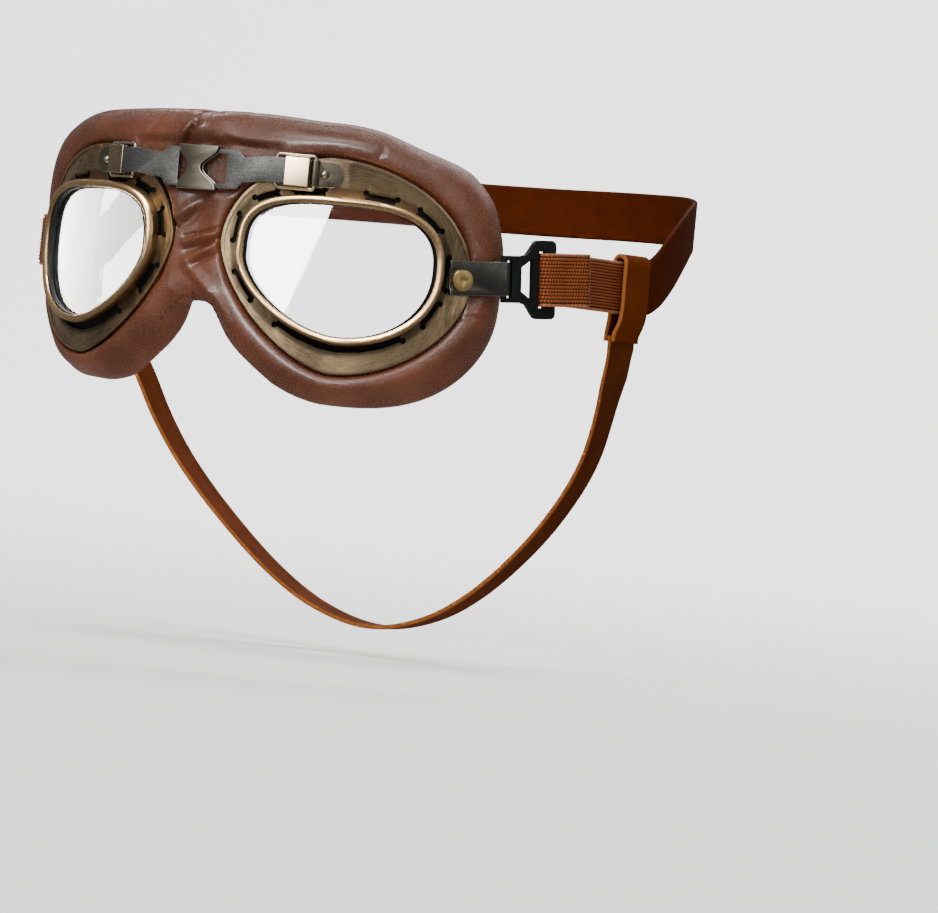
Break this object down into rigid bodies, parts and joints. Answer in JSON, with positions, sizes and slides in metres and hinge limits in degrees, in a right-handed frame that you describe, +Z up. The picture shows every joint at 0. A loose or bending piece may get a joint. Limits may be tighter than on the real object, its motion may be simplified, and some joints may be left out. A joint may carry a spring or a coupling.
{
  "type": "dog goggles",
  "caption": "Aviator style goggles for a dog: curved lenses in brass eyecups, padded leather mask, bridge clip, buckled elastic head strap and chin strap.",
  "frame": {"origin": "on the midplane at the height of the lens centres, between the two eye planes, where the mask meets the face", "axes": "+X to the wearer's left, +Y back over the head, +Z up; the lenses face -Y"},
  "size_m": [0.223, 0.2301, 0.1709],
  "materials": {
    "antique_brass": "brushed, dark antique",
    "rim_brass": "polished rolled edge",
    "rivet_brass": "satin",
    "band_brass": "bright",
    "gunmetal": "brushed, dark",
    "wire_metal": "satin",
    "black_plastic": "matte",
    "gasket_rubber": "matte",
    "clear_lens": "clear, glossy",
    "brown_leather": "smooth, padded",
    "black_buckle": "black satin",
    "tan_webbing": "ribbed elastic",
    "brown_band": "smooth elastic",
    "chin_webbing": "ribbed",
    "suede": "suede"
  },
  "bodies": {
    "nose_bridge": {"nose_leather": "brown_leather", "left_bridge_arm": "gunmetal", "left_bridge_loop": "wire_metal", "left_bridge_band": "band_brass", "left_elastic": "tan_webbing", "right_bridge_arm": "gunmetal", "right_bridge_loop": "wire_metal", "right_bridge_band": "band_brass", "right_elastic": "tan_webbing", "head_band": "brown_band"},
    "clip": {"bridge_clip": "gunmetal"},
    "left_eyecup": {"left_flange": "antique_brass", "left_vent_ring": "black_plastic", "left_lens": "clear_lens", "left_lens_gasket": "gasket_rubber", "left_lens_rim": "rim_brass", "left_cushion": "brown_leather", "left_strap_tab": "gunmetal", "left_strap_rivet": "rivet_brass", "left_bridge_tab": "gunmetal", "left_bridge_rivet": "rivet_brass"},
    "right_eyecup": {"right_flange": "antique_brass", "right_vent_ring": "black_plastic", "right_lens": "clear_lens", "right_lens_gasket": "gasket_rubber", "right_lens_rim": "rim_brass", "right_cushion": "brown_leather", "right_strap_tab": "gunmetal", "right_strap_rivet": "rivet_brass", "right_bridge_tab": "gunmetal", "right_bridge_rivet": "rivet_brass"},
    "left_buckle_plate": {"left_buckle": "black_buckle"},
    "right_buckle_plate": {"right_buckle": "black_buckle"},
    "chin_loops": {"left_chin_loop": "suede", "right_chin_loop": "suede"},
    "chin_strap": {"chin_webbing": "chin_webbing"}
  },
  "joints": [
    {"name": "bridge_clip_slide", "type": "slide", "parent": "nose_bridge", "child": "clip", "axis": [1, 0, 0], "range_m": [-0.0001, 0.0037]},
    {"name": "left_eyecup_hinge", "type": "hinge", "parent": "nose_bridge", "child": "left_eyecup", "pos_m": [0.03844, -0.00493, 0.0306], "axis": [0, 0, 1], "range_deg": [-5, 1.5], "deforming": ["left_elastic"]},
    {"name": "left_buckle_hinge", "type": "hinge", "parent": "left_eyecup", "child": "left_buckle_plate", "pos_m": [0.08787, 0.04009, 0.00274], "axis": [-0.0499, -0.0605, 0.9969], "range_deg": [-6, 6], "deforming": ["left_elastic"]},
    {"name": "right_eyecup_hinge", "type": "hinge", "parent": "nose_bridge", "child": "right_eyecup", "pos_m": [-0.03844, -0.00493, 0.0306], "axis": [0, 0, -1], "range_deg": [-5, 1.5], "deforming": ["right_elastic"]},
    {"name": "right_buckle_hinge", "type": "hinge", "parent": "right_eyecup", "child": "right_buckle_plate", "pos_m": [-0.08787, 0.04009, 0.00274], "axis": [-0.0499, 0.0605, -0.9969], "range_deg": [-6, 6], "deforming": ["right_elastic"]},
    {"name": "chin_loops_slide", "type": "slide", "parent": "nose_bridge", "child": "chin_loops", "axis": [0, 1, 0], "range_m": [-0.003, 0.0015]},
    {"name": "chin_strap_swing", "type": "hinge", "parent": "chin_loops", "child": "chin_strap", "pos_m": [0, 0.0986, -0.0112], "axis": [1, 0, 0], "range_deg": [-8, 6]}
  ]
}
